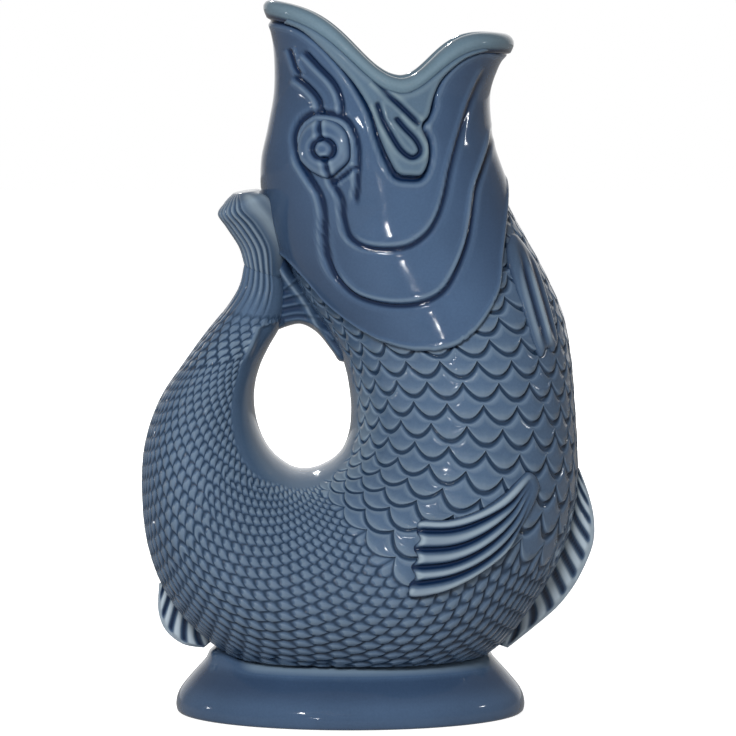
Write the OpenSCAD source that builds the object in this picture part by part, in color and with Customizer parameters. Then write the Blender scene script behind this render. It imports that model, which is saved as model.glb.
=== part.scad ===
// Gurgle jug: a slip-cast earthenware jug in the shape of a leaping fish.
// The fish stands on an oval foot with its mouth open upwards as the spout, and
// its hollow tail curls up behind the head as the handle. The clay parts are
// luted face to face, and the glazed jug has nothing that moves.
// +Z is up, +X is the pouring side, and the origin is under the middle of the jug.

/* [Overall] */
// Height from the table to the top of the upper lip
jug_h = 238; // [200:1:290]
// Length from the back of the tail to the edge of the belly fin
jug_l = 152; // [130:1:180]
// Width across the widest part of the belly
jug_w = 94; // [80:1:116]

/* [Clay] */
// Thickness of the clay in the hollow shells
wall = 4.5; // [3:0.25:6]
// Height of the rolled lip above the edge of the head
lip_h = 5; // [3.5:0.25:7]
// How far the lip stands out from the head's wall
lip_roll = 2.4; // [0.5:0.1:3.5]
// How far the mouth dips at its two corners
mouth_dip = 19.5; // [10:0.5:24]

/* [Foot] */
// Height of the foot, up to the belly
foot_h = 20; // [14:0.5:26]
// Length of the foot at its widest
foot_l = 117; // [100:1:130]
// Width of the foot at its widest
foot_w = 88; // [76:1:96]
// How far the foot draws in from its widest to its neck
foot_cove = 12; // [5:0.5:14]
// Thickness of the clay in the foot, at its neck
foot_wall = 7; // [5:0.5:10]

/* [Head] */
// How far a gill cover stands out from the body
gill_t = 2; // [1:0.1:3]
// How far each raised band of the cheek stands on the one behind it
cheek_step = 0.8; // [0.4:0.1:1.5]
// Radius of the eye
eye_r = 9.6; // [7:0.2:12]
// How far the eye bulges out of the cheek
eye_bulge = 3.4; // [1.5:0.1:5]
// Radius of the iris
iris_r = 3.4; // [2:0.1:5]
// How far the corner of the jaw stands out from the head
jaw_t = 4; // [3:0.1:5.5]

/* [Fins] */
// Thickness of the belly and vent fins at their roots
keel_fin_t = 5.6; // [3:0.2:8]
// Thickness of the back fin, which ties the tail to the head
back_fin_t = 11; // [6:0.5:14]
// How far the web of a side fin stands out from the belly
side_fin_t = 2; // [1:0.1:3]
// How far a breast fin stands out from the throat
breast_fin_t = 2.6; // [1:0.1:4]
// Radius of a fin ray
ray_r = 1.3; // [0.8:0.1:2]
// How far a ray stands out from the web of its fin
ray_h = 0.9; // [0.4:0.1:1.5]

/* [Hidden] */

// Points around a ring of the body.
around = 32;
// Height of the shells, from the top of the foot to the edge of the upper jaw.
body_h = jug_h - foot_h - lip_h;
left = 1;
right = -1;

// The fish's body as stations from the mouth to the end of the tail. Each has the
// place of its back edge and of its belly edge as shares of the length and of the
// shells' height, its half width as a share of the jug's, and its share of the dip.
station_shares = [
    [[-0.212, 1.000], [0.298, 0.947], 0.64, 1],
    [[-0.196, 0.950], [0.272, 0.922], 0.65, 0.85],
    [[-0.194, 0.884], [0.254, 0.880], 0.67, 0.5],
    [[-0.208, 0.825], [0.254, 0.838], 0.69, 0.2],
    [[-0.223, 0.770], [0.265, 0.797], 0.70, 0.05],
    [[-0.219, 0.708], [0.285, 0.750], 0.71, 0],
    [[-0.188, 0.630], [0.311, 0.697], 0.72, 0],
    [[-0.151, 0.566], [0.379, 0.609], 0.74, 0],
    [[-0.101, 0.513], [0.425, 0.536], 0.765, 0],
    [[-0.061, 0.463], [0.445, 0.466], 0.795, 0],
    [[-0.044, 0.406], [0.454, 0.391], 0.83, 0],
    [[-0.044, 0.359], [0.460, 0.316], 0.87, 0],
    [[-0.057, 0.327], [0.458, 0.247], 0.915, 0],
    [[-0.079, 0.308], [0.432, 0.169], 0.957, 0],
    [[-0.105, 0.297], [0.371, 0.086], 0.99, 0],
    [[-0.127, 0.292], [0.276, 0.006], 1.0, 0],
    [[-0.147, 0.291], [0.123, -0.041], 1.0, 0],
    [[-0.167, 0.294], [-0.061, -0.050], 0.98, 0],
    [[-0.186, 0.302], [-0.232, -0.031], 0.947, 0],
    [[-0.206, 0.314], [-0.362, 0.025], 0.904, 0],
    [[-0.224, 0.331], [-0.444, 0.092], 0.84, 0],
    [[-0.239, 0.355], [-0.487, 0.170], 0.766, 0],
    [[-0.248, 0.384], [-0.500, 0.256], 0.69, 0],
    [[-0.248, 0.417], [-0.493, 0.331], 0.617, 0],
    [[-0.237, 0.450], [-0.460, 0.400], 0.532, 0],
    [[-0.217, 0.481], [-0.408, 0.456], 0.447, 0],
    [[-0.195, 0.508], [-0.357, 0.506], 0.362, 0],
    [[-0.180, 0.534], [-0.310, 0.547], 0.287, 0],
    [[-0.178, 0.563], [-0.281, 0.580], 0.234, 0],
    [[-0.186, 0.589], [-0.270, 0.609], 0.213, 0]
];
neck_station = 6;
gill_station = 11;
tail_station = 21;
stalk_station = 28;
last_station = len(station_shares) - 1;

// The tail fin flares from the last station. Its back edge runs into the head.
tail_fin_shares = [
    [[-0.186, 0.589], [-0.270, 0.609], 0.213, 0],
    [[-0.176, 0.640], [-0.281, 0.637], 0.260, 0],
    [[-0.186, 0.681], [-0.308, 0.668], 0.330, 0],
    [[-0.200, 0.706], [-0.326, 0.689], 0.385, 0],
    [[-0.215, 0.721], [-0.313, 0.706], 0.370, 0],
    [[-0.240, 0.727], [-0.296, 0.721], 0.260, 0]
];

// Where the dip of the mouth lies between its back and its front, and how far it
// spreads each way, as shares of half the mouth's length.
dip_place_share = 0.08;
dip_back_share = 0.51;
dip_front_share = 0.41;
// How much fuller the body is towards its belly than towards its back.
fullness_share = 0.12;

function mix(a, b, t) = a * (1 - t) + b * t;
function at(list, i) = list[max(0, min(len(list) - 1, i))];
function flatten(lists) = [for (l = lists) each l];
function reversed(list) = [for (i = [len(list) - 1 : -1 : 0]) list[i]];
function middle_of(points) = [for (p = points) 1] * points / len(points);

// A smooth curve through four values, from the second to the third.
function curve(a, b, c, d, t) =
    b + 0.5 * t * (c - a + t * (2 * a - 5 * b + 4 * c - d + t * (3 * (b - c) + d - a)));

// A place in the side view, from shares of the length and of the shells' height.
function place(shares) = [shares[0] * jug_l, foot_h + shares[1] * body_h];

// Station t of a table, which may lie between two of its rows.
function station(table, t) =
    let (i = min(floor(t), len(table) - 2),
         rows = [at(table, i - 1), at(table, i), at(table, i + 1), at(table, i + 2)])
    [for (k = [0 : 3]) curve(rows[0][k], rows[1][k], rows[2][k], rows[3][k], t - i)];

// How much of the dip there is at e, from -1 at the back to 1 at the belly.
function dip(e) =
    let (spread = e < dip_place_share ? dip_back_share : dip_front_share)
    exp(-pow((e - dip_place_share) / spread, 2));

// One ring of the body, grown outwards by grow, with no point under lowest.
function ring(table, t, grow, lowest) =
    let (s = station(table, t), back = place(s[0]), belly = place(s[1]),
         middle = (back + belly) / 2, run = (belly - back) / norm(belly - back),
         half = norm(belly - back) / 2 + grow, width = s[2] * jug_w / 2 + grow)
    [for (i = [0 : around - 1])
        let (a = 360 * i / around, e = -cos(a), p = middle + run * half * e)
        [p[0], width * sin(a) * (1 + fullness_share * e),
         max(lowest, p[1] - s[3] * mouth_dip * dip(e))]];

// A row of rings, with this many from one station to the next.
function rings(table, from, to, grow, lowest, steps = 2) =
    [for (k = [from * steps : to * steps]) ring(table, k / steps, grow, lowest)];

// Faces of the band between ring k and ring l, where each has n points.
function band(k, l, n) =
    [for (i = [0 : n - 1])
        let (j = (i + 1) % n)
        each [[k * n + i, l * n + j, k * n + j], [k * n + i, l * n + i, l * n + j]]];

// A closed loop of rings, such as a tube's outside and then its inside.
module hoop(loops) {
    n = len(loops[0]);
    m = len(loops);
    polyhedron(flatten(loops), [for (k = [0 : m - 1]) each band(k, (k + 1) % m, n)]);
}

// A row of rings with a fan of faces over each end.
module skin(loops) {
    n = len(loops[0]);
    m = len(loops);
    points = concat(flatten(loops), [middle_of(loops[0]), middle_of(loops[m - 1])]);
    polyhedron(points, [
        for (k = [0 : m - 2]) each band(k, k + 1, n),
        for (i = [0 : n - 1]) [n * m, i, (i + 1) % n],
        for (i = [0 : n - 1]) [n * m + 1, (m - 1) * n + (i + 1) % n, (m - 1) * n + i]
    ]);
}

// The outside of the fish as one solid, grown by grow, between two stations.
module fish(grow, from = 0, to = last_station) {
    skin(rings(station_shares, from, to, grow, foot_h - max(grow, 0)));
}

// A prism over the right side of the jug, from an outline in the side view.
module across() {
    rotate([90, 0, 0])
        linear_extrude(jug_w)
            children();
}

module on_side(side) {
    mirror([0, side == left ? 1 : 0, 0])
        children();
}

// An outline in the side view, given as shares of the length and the height.
module outline(shares) {
    polygon([for (s = shares) place(s)]);
}

// A strip in the side view along a row of places, round at its ends.
module strip(shares, r) {
    for (i = [0 : len(shares) - 2])
        hull() {
            translate(place(shares[i])) circle(r, $fn = 10);
            translate(place(shares[i + 1])) circle(r, $fn = 10);
        }
}

// What of the right side of the fish, grown by grow, lies inside an outline.
module patch(grow, from, to) {
    intersection() {
        fish(grow, from, to);
        across() children();
    }
}

// Body

module belly_shell() {
    outside = rings(station_shares, neck_station, tail_station, 0, foot_h);
    inside = rings(station_shares, neck_station, tail_station, -wall, foot_h + wall, 1);
    color("slateblue")
        hoop(concat(outside, reversed(inside)));
}

module head_shell() {
    outside = rings(station_shares, 0, neck_station, 0, foot_h);
    inside = rings(station_shares, 0, neck_station, -wall, foot_h, 1);
    color("steelblue")
        hoop(concat(outside, reversed(inside)));
}

// The tail is hollow up to its stalk, so that air is caught in it and gurgles.
module tail_shell() {
    outside = rings(station_shares, tail_station, last_station, 0, foot_h);
    inside = rings(station_shares, tail_station, stalk_station, -wall, foot_h + wall, 1);
    color("slateblue")
        skin(concat(reversed(inside), outside));
}

// Profile of the foot from the table up: how far it draws in as a share of the
// cove, and its height as a share of the foot's.
foot_profile_shares = [
    [0.10, 0], [0.02, 0.04], [0, 0.12], [0.03, 0.28], [0.20, 0.46], [0.50, 0.68], [0.84, 0.90], [1, 1]
];
foot_middle_share = -0.041;
// How far the base draws in on the inside, as a share of the cove.
foot_inside_share = 0.3;
foot_points = 48;

function foot_ring(inset, z) =
    [for (i = [0 : foot_points - 1])
        let (a = 360 * i / foot_points)
        [foot_middle_share * jug_l + (foot_l / 2 - inset) * cos(a), (foot_w / 2 - inset) * sin(a), z]];

module foot() {
    outside = [for (s = foot_profile_shares) foot_ring(s[0] * foot_cove, s[1] * foot_h)];
    inside = [
        foot_ring(foot_cove + foot_wall, foot_h),
        foot_ring(foot_inside_share * foot_cove + foot_wall, 0)
    ];
    color("steelblue")
        hoop(concat(outside, inside));
}

// Profile of the lip over the edge of the head: its place from the inside of the
// wall to the outside of the roll, and its height, as shares.
lip_profile_shares = [[0.95, 0.22], [1, 0.5], [0.9, 0.82], [0.62, 1], [0.3, 0.95], [0.06, 0.7], [0, 0.35]];

module mouth_lip() {
    outer = ring(station_shares, 0, 0, foot_h);
    inner = ring(station_shares, 0, -wall, foot_h);
    roll = ring(station_shares, 0, lip_roll, foot_h);
    up = [0, 0, lip_h];
    profile = [for (s = lip_profile_shares)
        [for (i = [0 : around - 1]) mix(inner[i], roll[i], s[0]) + up * s[1]]];
    color("lightslategray")
        hoop(reversed(concat([outer], profile, [inner])));
}

// Head

// A gill cover, from the lips down to its free edge, seen from the side.
gill_shares = [
    [-0.261, 0.986], [-0.213, 0.986], [-0.158, 0.977], [-0.107, 0.952], [-0.057, 0.913],
    [-0.024, 0.877], [-0.002, 0.844], [0.015, 0.808], [0.035, 0.772], [0.057, 0.747],
    [0.088, 0.741], [0.116, 0.746], [0.132, 0.770], [0.132, 0.802], [0.118, 0.822],
    [0.132, 0.849], [0.147, 0.877], [0.164, 0.903], [0.197, 0.928], [0.246, 0.938],
    [0.287, 0.934], [0.353, 0.930], [0.353, 0.711], [0.311, 0.711], [0.307, 0.680],
    [0.303, 0.647], [0.296, 0.611], [0.289, 0.575], [0.272, 0.543], [0.235, 0.507],
    [0.195, 0.486], [0.145, 0.475], [0.094, 0.475], [0.029, 0.486], [-0.022, 0.504],
    [-0.072, 0.528], [-0.101, 0.547], [-0.132, 0.572], [-0.182, 0.611], [-0.208, 0.607],
    [-0.193, 0.628], [-0.217, 0.677], [-0.246, 0.727], [-0.274, 0.728]
];
// The band of the cheek that rises on it, and the inner band on that one.
cheek_shares = [
    [-0.132, 0.744], [-0.107, 0.716], [-0.099, 0.683], [-0.099, 0.647], [-0.090, 0.611],
    [-0.066, 0.583], [-0.022, 0.558], [0.044, 0.547], [0.110, 0.550], [0.160, 0.568],
    [0.191, 0.600], [0.215, 0.644], [0.226, 0.683], [0.235, 0.725], [0.250, 0.758],
    [0.265, 0.780], [0.281, 0.836], [0.285, 0.910], [0.246, 0.924], [0.208, 0.910],
    [0.178, 0.886], [0.158, 0.855], [0.147, 0.820], [0.149, 0.767], [0.129, 0.733],
    [0.088, 0.728], [0.046, 0.738], [0.020, 0.766], [0.000, 0.805], [-0.020, 0.839],
    [-0.037, 0.861], [-0.053, 0.855], [-0.037, 0.813], [-0.042, 0.766], [-0.075, 0.742]
];
cheek_inner_shares = [
    [-0.081, 0.736], [-0.061, 0.711], [-0.057, 0.680], [-0.046, 0.655], [-0.015, 0.639],
    [0.035, 0.635], [0.086, 0.639], [0.125, 0.658], [0.149, 0.683], [0.164, 0.716],
    [0.175, 0.752], [0.191, 0.794], [0.206, 0.830], [0.221, 0.863], [0.241, 0.890],
    [0.243, 0.902], [0.213, 0.890], [0.186, 0.863], [0.171, 0.833], [0.162, 0.797],
    [0.162, 0.761], [0.138, 0.725], [0.088, 0.717], [0.037, 0.727], [0.009, 0.758],
    [-0.011, 0.789], [-0.024, 0.766], [-0.042, 0.752]
];
// Ridges of the brow, one in front of the eye and one over it.
brow_front_shares = [
    [-0.143, 0.940], [-0.107, 0.922], [-0.081, 0.900], [-0.066, 0.874], [-0.056, 0.845]
];
brow_back_shares = [
    [-0.173, 0.915], [-0.152, 0.890], [-0.132, 0.873], [-0.118, 0.855], [-0.110, 0.836]
];

// The gill cover together with what of the fish lies behind it.
module gill_block() {
    patch(gill_t, 0, gill_station) outline(gill_shares);
    patch(gill_t + cheek_step, 0, gill_station) {
        outline(cheek_shares);
        strip(brow_front_shares, ray_r);
        strip(brow_back_shares, ray_r);
    }
    patch(gill_t + 2 * cheek_step, 0, gill_station) outline(cheek_inner_shares);
}

module gill_cover(side) {
    color("cornflowerblue")
        on_side(side)
            difference() {
                gill_block();
                fish(0);
            }
}

// Where the eye sits: its station, its place on that ring from the back to the
// belly as a share of half the ring, and how far it turns with the cheek.
eye_station = 3.65;
eye_place_share = -0.49;
eye_turn = -28;

// A place on the right side of the fish, grown by grow.
function on_fish(t, e, grow) =
    let (s = station(station_shares, t), back = place(s[0]), belly = place(s[1]),
         p = mix(back, belly, (1 + e) / 2), width = s[2] * jug_w / 2 + grow)
    [p[0], -width * sqrt(1 - e * e) * (1 + fullness_share * e), p[1] - s[3] * mouth_dip * dip(e)];

module eye(side) {
    color("lightsteelblue")
        on_side(side)
            difference() {
                translate(on_fish(eye_station, eye_place_share, gill_t))
                    rotate([0, 0, eye_turn]) {
                        scale([1, eye_bulge / eye_r, 1]) sphere(eye_r, $fn = 22);
                        translate([0, ray_r / 2 - eye_bulge, 0])
                            scale([1, ray_r / iris_r, 1]) sphere(iris_r, $fn = 14);
                    }
                gill_block();
                fish(0);
            }
}

// The corner of the jaw hangs from the corner of the mouth, with a drop-shaped
// groove in it.
jaw_corner_shares = [
    [0.064, 0.860], [0.035, 0.868], [0.007, 0.874], [-0.002, 0.864], [-0.002, 0.844],
    [0.015, 0.808], [0.035, 0.772], [0.057, 0.747], [0.088, 0.741], [0.116, 0.746],
    [0.132, 0.770], [0.132, 0.802], [0.118, 0.822], [0.132, 0.849], [0.147, 0.877],
    [0.124, 0.880], [0.096, 0.862]
];
jaw_groove_shares = [
    [0.022, 0.852], [0.032, 0.832], [0.044, 0.812], [0.062, 0.791], [0.084, 0.781],
    [0.099, 0.788], [0.094, 0.803], [0.078, 0.820], [0.059, 0.836]
];

module jaw_corner(side) {
    color("lightsteelblue")
        on_side(side)
            difference() {
                patch(jaw_t, 0, neck_station) outline(jaw_corner_shares);
                fish(0);
                difference() {
                    patch(jaw_t + ray_r, 0, neck_station) strip(jaw_groove_shares, ray_r / 2);
                    fish(jaw_t - ray_h, 0, neck_station);
                }
            }
}

// Fins on the sides

side_fin_shares = [
    [0.333, 0.274], [0.279, 0.241], [0.228, 0.222], [0.169, 0.212], [0.114, 0.210],
    [0.103, 0.176], [0.101, 0.140], [0.092, 0.093], [0.151, 0.096], [0.206, 0.112],
    [0.261, 0.135], [0.307, 0.163], [0.340, 0.202], [0.368, 0.241], [0.379, 0.258],
    [0.364, 0.277]
];
side_ray_shares = [
    [[0.340, 0.264], [0.287, 0.229], [0.230, 0.211], [0.169, 0.200], [0.121, 0.198]],
    [[0.346, 0.261], [0.298, 0.218], [0.243, 0.193], [0.178, 0.178], [0.116, 0.176]],
    [[0.353, 0.258], [0.305, 0.208], [0.252, 0.175], [0.178, 0.152], [0.113, 0.147]],
    [[0.360, 0.255], [0.314, 0.198], [0.257, 0.157], [0.178, 0.126], [0.109, 0.120]],
    [[0.368, 0.252], [0.322, 0.187], [0.265, 0.145], [0.200, 0.116], [0.108, 0.104]]
];

module side_fin(side) {
    color("slategray")
        on_side(side)
            difference() {
                union() {
                    patch(side_fin_t, gill_station - 1, tail_station) outline(side_fin_shares);
                    patch(side_fin_t + ray_h, gill_station - 1, tail_station)
                        for (s = side_ray_shares)
                            strip(s, ray_r);
                }
                fish(0);
            }
}

breast_fin_shares = [
    [0.316, 0.641], [0.340, 0.645], [0.362, 0.621], [0.377, 0.594], [0.393, 0.562],
    [0.410, 0.523], [0.419, 0.493], [0.412, 0.469], [0.399, 0.477], [0.382, 0.508],
    [0.360, 0.547], [0.338, 0.586]
];
breast_ray_shares = [
    [[0.328, 0.638], [0.346, 0.600], [0.368, 0.557], [0.388, 0.518], [0.404, 0.484]],
    [[0.344, 0.634], [0.362, 0.600], [0.382, 0.560], [0.399, 0.520], [0.411, 0.486]]
];

module breast_fin(side) {
    color("slategray")
        on_side(side)
            difference() {
                union() {
                    patch(breast_fin_t, neck_station - 1, gill_station + 1) outline(breast_fin_shares);
                    patch(breast_fin_t + ray_h, neck_station - 1, gill_station + 1)
                        for (s = breast_ray_shares)
                            strip(s, ray_r / 2);
                }
                fish(0);
                gill_block();
            }
}

// Fins in the middle

// A fin in the middle plane: webs between rays that each run from a root in the
// body to a tip. The web thins towards the tips, and each ray stands out of it.
module keel_fin(roots, tips) {
    tip_t = keel_fin_t / 2;
    for (i = [0 : len(roots) - 2])
        hull() {
            upright(roots[i], ray_r / 2, keel_fin_t);
            upright(roots[i + 1], ray_r / 2, keel_fin_t);
            upright(tips[i], ray_r / 2, tip_t);
            upright(tips[i + 1], ray_r / 2, tip_t);
        }
    for (i = [0 : len(roots) - 1])
        hull() {
            upright(roots[i], ray_r, keel_fin_t + 2 * ray_h);
            upright(tips[i], ray_r, tip_t + ray_h);
        }
}

// A short round bar across the middle plane.
module upright(shares, r, t) {
    p = place(shares);
    translate([p[0], 0, p[1]])
        rotate([90, 0, 0])
            cylinder(h = t, r = r, center = true, $fn = 10);
}

belly_root_shares = [
    [0.441, 0.282], [0.432, 0.243], [0.412, 0.205], [0.384, 0.166], [0.354, 0.130],
    [0.322, 0.095], [0.292, 0.065], [0.262, 0.040], [0.240, 0.020]
];
belly_tip_shares = [
    [0.466, 0.286], [0.484, 0.247], [0.493, 0.210], [0.492, 0.174], [0.474, 0.139],
    [0.449, 0.104], [0.413, 0.071], [0.360, 0.038], [0.304, 0.006]
];

module belly_fin() {
    color("slategray")
        difference() {
            keel_fin(belly_root_shares, belly_tip_shares);
            fish(0);
        }
}

vent_root_shares = [
    [-0.425, 0.112], [-0.404, 0.090], [-0.380, 0.068], [-0.354, 0.048], [-0.326, 0.030]
];
vent_tip_shares = [
    [-0.460, 0.104], [-0.461, 0.066], [-0.445, 0.034], [-0.408, 0.012], [-0.364, 0.007]
];

module vent_fin() {
    color("slategray")
        difference() {
            keel_fin(vent_root_shares, vent_tip_shares);
            fish(0);
        }
}

// Rays of the tail fin: their places around its rings, in degrees from its back
// edge, which lies against the head.
tail_ray_angles = [112, 131, 149, 166, 194, 211, 229, 248];

module tail_fin_solid() {
    last = len(tail_fin_shares) - 1;
    difference() {
        union() {
            skin(rings(tail_fin_shares, 0, last, 0, foot_h));
            for (a = tail_ray_angles) {
                i = round(a * around / 360);
                for (t = [0.5, 1.5, 2.5, 3])
                    hull() {
                        translate(ring(tail_fin_shares, t, -ray_r / 2, foot_h)[i]) sphere(ray_r, $fn = 6);
                        translate(ring(tail_fin_shares, t + 1, -ray_r / 2, foot_h)[i]) sphere(ray_r, $fn = 6);
                    }
            }
        }
        fish(0);
        for (side = [left, right])
            on_side(side) gill_block();
    }
}

module tail_fin() {
    color("slategray") tail_fin_solid();
}

// The back fin fills the crook between the tail, the head and the finger hole.
back_fin_shares = [
    [-0.192, 0.590], [-0.200, 0.560], [-0.210, 0.530], [-0.235, 0.500], [-0.262, 0.478],
    [-0.258, 0.462], [-0.243, 0.482], [-0.213, 0.502], [-0.173, 0.514], [-0.145, 0.516],
    [-0.112, 0.502], [-0.081, 0.474], [-0.064, 0.458], [-0.040, 0.462], [-0.050, 0.500],
    [-0.072, 0.528], [-0.101, 0.547], [-0.130, 0.572], [-0.165, 0.602]
];
back_ray_shares = [
    [[-0.186, 0.574], [-0.160, 0.588]],
    [[-0.186, 0.560], [-0.135, 0.568]],
    [[-0.188, 0.546], [-0.112, 0.548]],
    [[-0.188, 0.532], [-0.150, 0.536], [-0.096, 0.528]],
    [[-0.188, 0.522], [-0.145, 0.525], [-0.100, 0.510], [-0.078, 0.496]]
];

module back_fin() {
    color("slategray")
        difference() {
            union() {
                rotate([90, 0, 0])
                    linear_extrude(back_fin_t, center = true)
                        outline(back_fin_shares);
                rotate([90, 0, 0])
                    linear_extrude(back_fin_t + 2 * ray_h, center = true)
                        for (s = back_ray_shares)
                            strip(s, ray_r / 2);
            }
            fish(0);
            tail_fin_solid();
            for (side = [left, right])
                on_side(side) gill_block();
        }
}

belly_shell();
head_shell();
tail_shell();
foot();
mouth_lip();
tail_fin();
back_fin();
belly_fin();
vent_fin();
gill_cover(left);  // gill_cover_left
gill_cover(right);  // gill_cover_right
eye(left);  // eye_left
eye(right);  // eye_right
jaw_corner(left);  // jaw_corner_left
jaw_corner(right);  // jaw_corner_right
side_fin(left);  // side_fin_left
side_fin(right);  // side_fin_right
breast_fin(left);  // breast_fin_left
breast_fin(right);  // breast_fin_right
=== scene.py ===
import bpy
import mathutils
import numpy as np
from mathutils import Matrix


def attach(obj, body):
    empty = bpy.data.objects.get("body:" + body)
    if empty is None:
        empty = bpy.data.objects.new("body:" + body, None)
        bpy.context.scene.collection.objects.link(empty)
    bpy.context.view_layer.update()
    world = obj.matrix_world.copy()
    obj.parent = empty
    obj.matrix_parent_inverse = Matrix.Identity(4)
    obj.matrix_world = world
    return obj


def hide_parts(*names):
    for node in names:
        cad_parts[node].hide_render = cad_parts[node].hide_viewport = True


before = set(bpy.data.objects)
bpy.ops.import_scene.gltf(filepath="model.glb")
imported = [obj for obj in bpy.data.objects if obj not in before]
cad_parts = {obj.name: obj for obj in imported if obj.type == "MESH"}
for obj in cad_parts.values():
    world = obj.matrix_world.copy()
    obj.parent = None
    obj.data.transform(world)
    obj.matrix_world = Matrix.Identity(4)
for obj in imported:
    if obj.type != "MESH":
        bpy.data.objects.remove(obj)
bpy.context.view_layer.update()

# The table and the light. The jug stands on a white table in a white room. A large
# soft lamp hangs before it and another behind it, and small ones round it are
# mirrored as glints on the glaze.
camera_distance = 1.5
camera_height = 0.240
picture_middle = (-0.0003, 0.0, 0.1153)
picture_height = 0.2453
table_size = 8.0
room_light = 0.15
front_glints, back_glints, table_glints = 0.20, 0.95, 0.30
# How far behind the jug, from 0 to 1, the mirrored room starts to brighten, and how
# fast it does.
back_starts, back_rise = 0.7, 3.5
table_grey, table_glow = (0.60, 0.60, 0.60, 1.0), 0.92

bpy.ops.object.select_all(action="DESELECT")
bpy.ops.mesh.primitive_plane_add(size=table_size)
table = bpy.context.object
table.name = "table_top"


class Wire:
    """A shader socket. Arithmetic on it adds Math nodes, and node() adds any other."""

    def __init__(self, tree, socket=None):
        self.tree = tree
        self.socket = socket

    def node(self, kind, settings=None, inputs=None, output=0):
        made = self.tree.nodes.new(kind)
        for key, value in (settings or {}).items():
            setattr(made, key, value)
        for key, value in (inputs or {}).items():
            if isinstance(value, Wire):
                self.tree.links.new(value.socket, made.inputs[key])
            else:
                made.inputs[key].default_value = value
        return Wire(self.tree, made.outputs[output] if made.outputs else None)

    def maths(self, operation, first, second):
        return self.node("ShaderNodeMath", {"operation": operation}, {0: first, 1: second})

    def clamped(self):
        return self.node("ShaderNodeClamp", inputs={"Value": self})

    def mixed(self, first, second):
        """first where this wire is 0, and second where it is 1."""
        return self.node("ShaderNodeMix", {"data_type": "RGBA"}, {0: self, 6: first, 7: second}, 2)

    def __add__(self, other):
        return self.maths("ADD", self, other)

    def __sub__(self, other):
        return self.maths("SUBTRACT", self, other)

    def __rsub__(self, other):
        return self.maths("SUBTRACT", other, self)

    def __mul__(self, other):
        return self.maths("MULTIPLY", self, other)

    def __pow__(self, other):
        return self.maths("POWER", self, other)

    __radd__ = __add__
    __rmul__ = __mul__


def new_material(name):
    material = bpy.data.materials.new(name)
    material.use_nodes = True
    material.node_tree.nodes.clear()
    return material, Wire(material.node_tree)


white = (1.0, 1.0, 1.0, 1.0)
table_paint, start = new_material("white_table")
seen_straight = start.node("ShaderNodeLightPath")
lit = start.node("ShaderNodeBsdfDiffuse", inputs={"Color": table_grey})
glow = start.node("ShaderNodeEmission", inputs={"Color": white, "Strength": table_glow})
both = start.node("ShaderNodeAddShader", inputs={0: lit, 1: glow})
mirrored = start.node("ShaderNodeLightPath", output=3)
plain = start.node("ShaderNodeEmission", inputs={"Color": white, "Strength": table_glints})
plainer = start.node("ShaderNodeMixShader", inputs={0: mirrored, 1: lit, 2: plain})
shown = start.node("ShaderNodeMixShader", inputs={0: seen_straight, 1: plainer, 2: both})
start.node("ShaderNodeOutputMaterial", inputs={"Surface": shown})
table.data.materials.append(table_paint)

world = bpy.data.worlds.new("white_room")
world.use_nodes = True
world.node_tree.nodes.clear()
start = Wire(world.node_tree)
rays = start.node("ShaderNodeLightPath")
mirrored = start.node("ShaderNodeLightPath", output=3)
walls = start.node("ShaderNodeBackground", inputs={"Color": white, "Strength": room_light})
front = start.node("ShaderNodeBackground", inputs={"Color": white, "Strength": front_glints})
back = start.node("ShaderNodeBackground", inputs={"Color": white, "Strength": back_glints})
way = start.node("ShaderNodeTexCoord")
behind = start.node("ShaderNodeSeparateXYZ", inputs={"Vector": way}, output=1)
far_back = ((behind - back_starts) * back_rise).clamped()
glints = start.node("ShaderNodeMixShader", inputs={0: far_back, 1: front, 2: back})
room = start.node("ShaderNodeMixShader", inputs={0: mirrored, 1: walls, 2: glints})
paper = start.node("ShaderNodeBackground", inputs={"Color": white, "Strength": 1.0})
shown = start.node("ShaderNodeMixShader", inputs={0: rays, 1: room, 2: paper})
start.node("ShaderNodeOutputWorld", inputs={"Surface": shown})
bpy.context.scene.world = world


def turn_to(thing, place, aim):
    thing.location = place
    way = mathutils.Vector(aim) - mathutils.Vector(place)
    thing.rotation_euler = way.to_track_quat("-Z", "Y").to_euler()


def lamp(name, place, aim, size, power, mirrored):
    """A lamp that glossy glaze mirrors as a bright spot, or a soft one that it doesn't."""
    light = bpy.data.lights.new(name, "AREA")
    light.shape = "RECTANGLE"
    light.size, light.size_y = size
    light.energy = power
    holder = bpy.data.objects.new(name, light)
    bpy.context.collection.objects.link(holder)
    holder.visible_glossy = mirrored
    turn_to(holder, place, aim)


# Each lamp's place, how high on the jug it is aimed, its size, its power, and
# whether the glaze mirrors it.
lamps = {
    "key_lamp": ((-0.24, -1.38, 0.80), 0.11, (0.45, 0.4), 22.5, False),
    "back_lamp": ((0.0, 1.4, 0.80), 0.11, (0.8, 0.4), 18.0, False),
    "face_spot": ((-0.38, -1.25, 0.21), 0.15, (0.04, 0.03), 0.25, True),
    "flank_spot": ((-0.54, -1.10, 0.62), 0.12, (0.06, 0.05), 0.7, True),
    "left_spot": ((-1.28, 0.05, 0.22), 0.15, (0.045, 0.055), 0.26, True),
    "right_spot": ((1.24, -0.10, 0.45), 0.12, (0.045, 0.055), 0.30, True),
    "back_spot": ((-0.3, 1.3, 0.8), 0.12, (0.07, 0.07), 1.0, True),
}
for name, (place, aim_height, size, power, mirrored) in lamps.items():
    lamp(name, place, (0, 0, aim_height), size, power, mirrored)

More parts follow.
